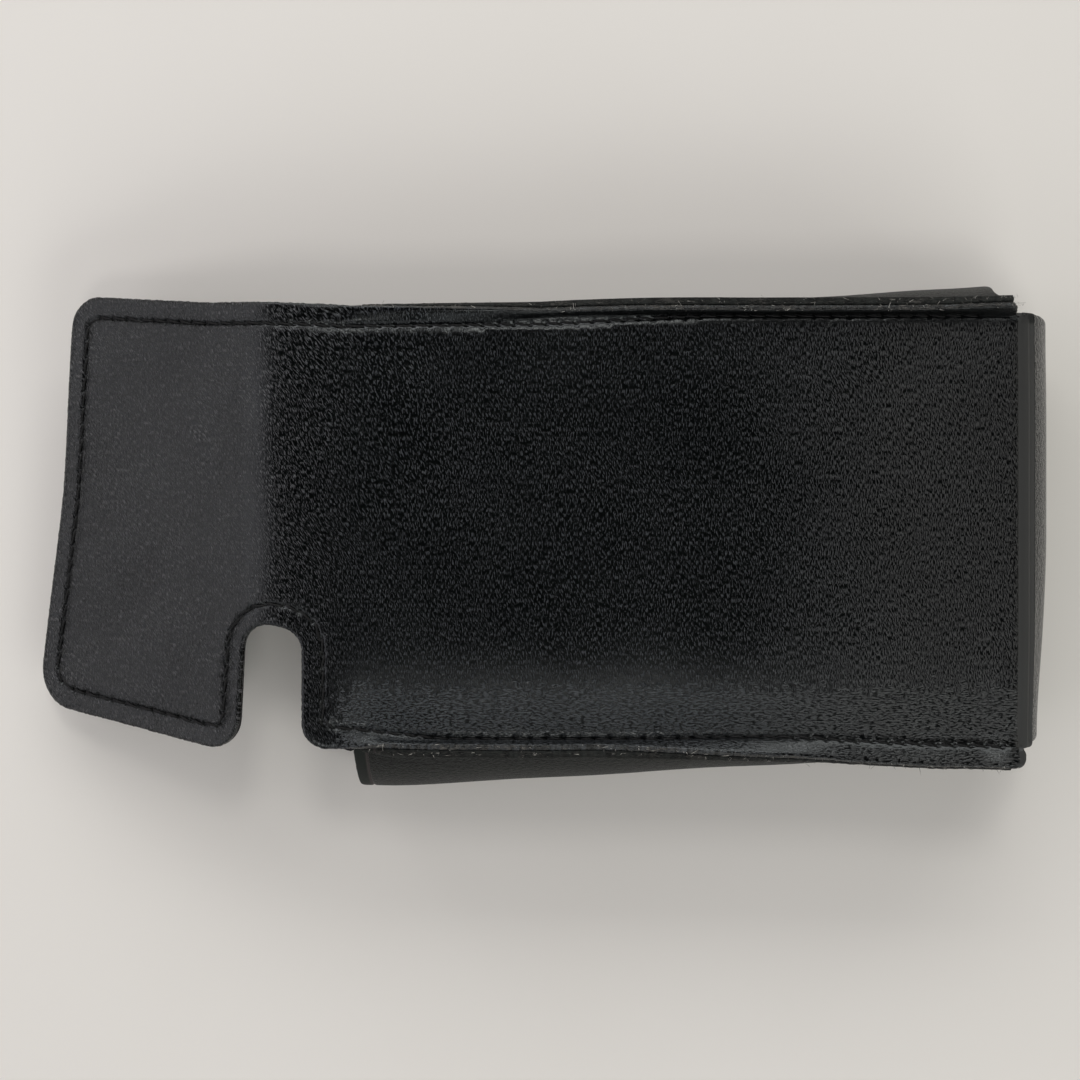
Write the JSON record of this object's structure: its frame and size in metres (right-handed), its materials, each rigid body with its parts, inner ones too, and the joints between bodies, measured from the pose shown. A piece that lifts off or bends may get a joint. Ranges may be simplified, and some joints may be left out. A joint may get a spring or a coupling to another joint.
{
  "type": "leather ever ready case",
  "caption": "Soft leather ever-ready case for a slim compact camera: lined pouch open at one end, with a folding flap notched for the wrist strap.",
  "frame": {"origin": "middle of the front panel's underside, on which the case lies", "axes": "+X from the mouth to the closed end, +Z from the front panel out of the back panel"},
  "size_m": [0.177, 0.0866, 0.028],
  "materials": {
    "leather": "black pebble-grained cowhide, semi-gloss",
    "lining": "black napped suede cloth",
    "thread": "black waxed thread",
    "steel": "plain thin steel plate",
    "magnet": "nickel-plated magnet disc"
  },
  "bodies": {
    "pouch": {"back_leather": "leather", "back_lining": "lining", "channel_leather": "leather", "channel_lining": "lining", "keeper_plate": "steel", "upper_seam_thread": "thread", "lower_seam_thread": "thread", "end_seam_thread": "thread"},
    "flap_wall": {"flap_wall_leather": "leather", "flap_wall_lining": "lining", "flap_wall_thread": "thread"},
    "flap_tip": {"flap_tip_leather": "leather", "flap_tip_lining": "lining", "flap_tip_thread": "thread", "flap_magnet": "magnet"}
  },
  "joints": [
    {"name": "flap_fold", "type": "hinge", "parent": "pouch", "child": "flap_wall", "pos_m": [-0.0579, 0, 0.0251], "axis": [0, -1, 0], "range_deg": [-80, 77.5]},
    {"name": "tip_fold", "type": "hinge", "parent": "flap_wall", "child": "flap_tip", "pos_m": [-0.08359, 0, 0.01899], "axis": [0, -1, 0], "range_deg": [-60, 77.5]}
  ]
}
